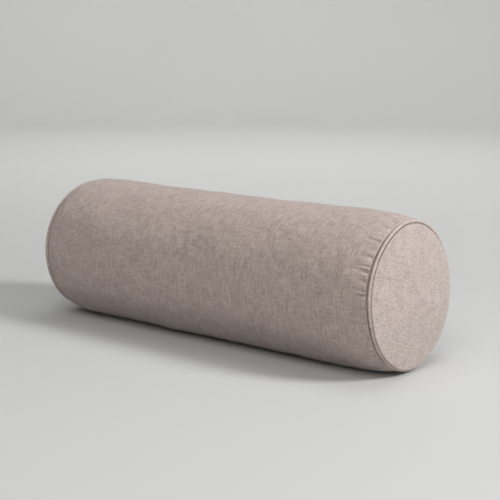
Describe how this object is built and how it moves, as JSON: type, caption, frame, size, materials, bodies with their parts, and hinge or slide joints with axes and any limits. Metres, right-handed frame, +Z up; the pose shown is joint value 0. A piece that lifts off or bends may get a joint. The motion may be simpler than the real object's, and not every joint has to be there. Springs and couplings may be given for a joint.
{
  "type": "bolster pillow",
  "caption": "Cylindrical linen bolster pillow with piped round ends, a concealed lengthwise zip and a removable foam insert, used to support the neck, back or knees.",
  "frame": {"origin": "on the surface the bolster lies on, under the middle of its length and width", "axes": "+X along the bolster's length, +Y towards the zipped back, +Z up"},
  "size_m": [0.598, 0.1999, 0.1957],
  "materials": {
    "linen": "stone-washed taupe linen, slubbed plain weave",
    "cord": "twisted cotton filler cord",
    "thread": "spun polyester thread, taupe",
    "zip_tape": "knitted polyester tape, taupe",
    "zip_coil": "nylon monofilament coil, taupe",
    "zip_metal": "zinc alloy, enamelled taupe",
    "calico": "unbleached cotton calico",
    "wadding": "bonded polyester wadding",
    "foam": "open-cell polyurethane foam"
  },
  "bodies": {
    "pillow": {"barrel_panel": "linen", "end_panel_left": "linen", "end_panel_right": "linen", "piping_cover_left": "linen", "piping_cover_right": "linen", "piping_cord_left": "cord", "piping_cord_right": "cord", "seam_stitching_left": "thread", "seam_stitching_right": "thread", "seam_overlock_left": "thread", "seam_overlock_right": "thread", "zip_stitching_upper": "thread", "zip_stitching_lower": "thread", "zip_tape_upper": "zip_tape", "zip_tape_lower": "zip_tape", "zip_coil_upper": "zip_coil", "zip_coil_lower": "zip_coil", "zip_top_stop_upper": "zip_metal", "zip_top_stop_lower": "zip_metal", "zip_bottom_stop": "zip_metal", "inner_case_barrel": "calico", "inner_case_end_left": "calico", "inner_case_end_right": "calico", "wadding_wrap": "wadding", "wadding_end_left": "wadding", "wadding_end_right": "wadding", "foam_core": "foam"},
    "slider": {"zip_slider": "zip_metal"},
    "pull": {"zip_pull": "zip_metal"}
  },
  "joints": [
    {"name": "zip_slide", "type": "slide", "parent": "pillow", "child": "slider", "axis": [1, 0, 0], "range_m": [0, 0.4314]},
    {"name": "pull_hinge", "type": "hinge", "parent": "slider", "child": "pull", "pos_m": [-0.2157, 0.09729, 0.11505], "axis": [0, -0.1951, 0.9808], "range_deg": [0, 180]}
  ]
}
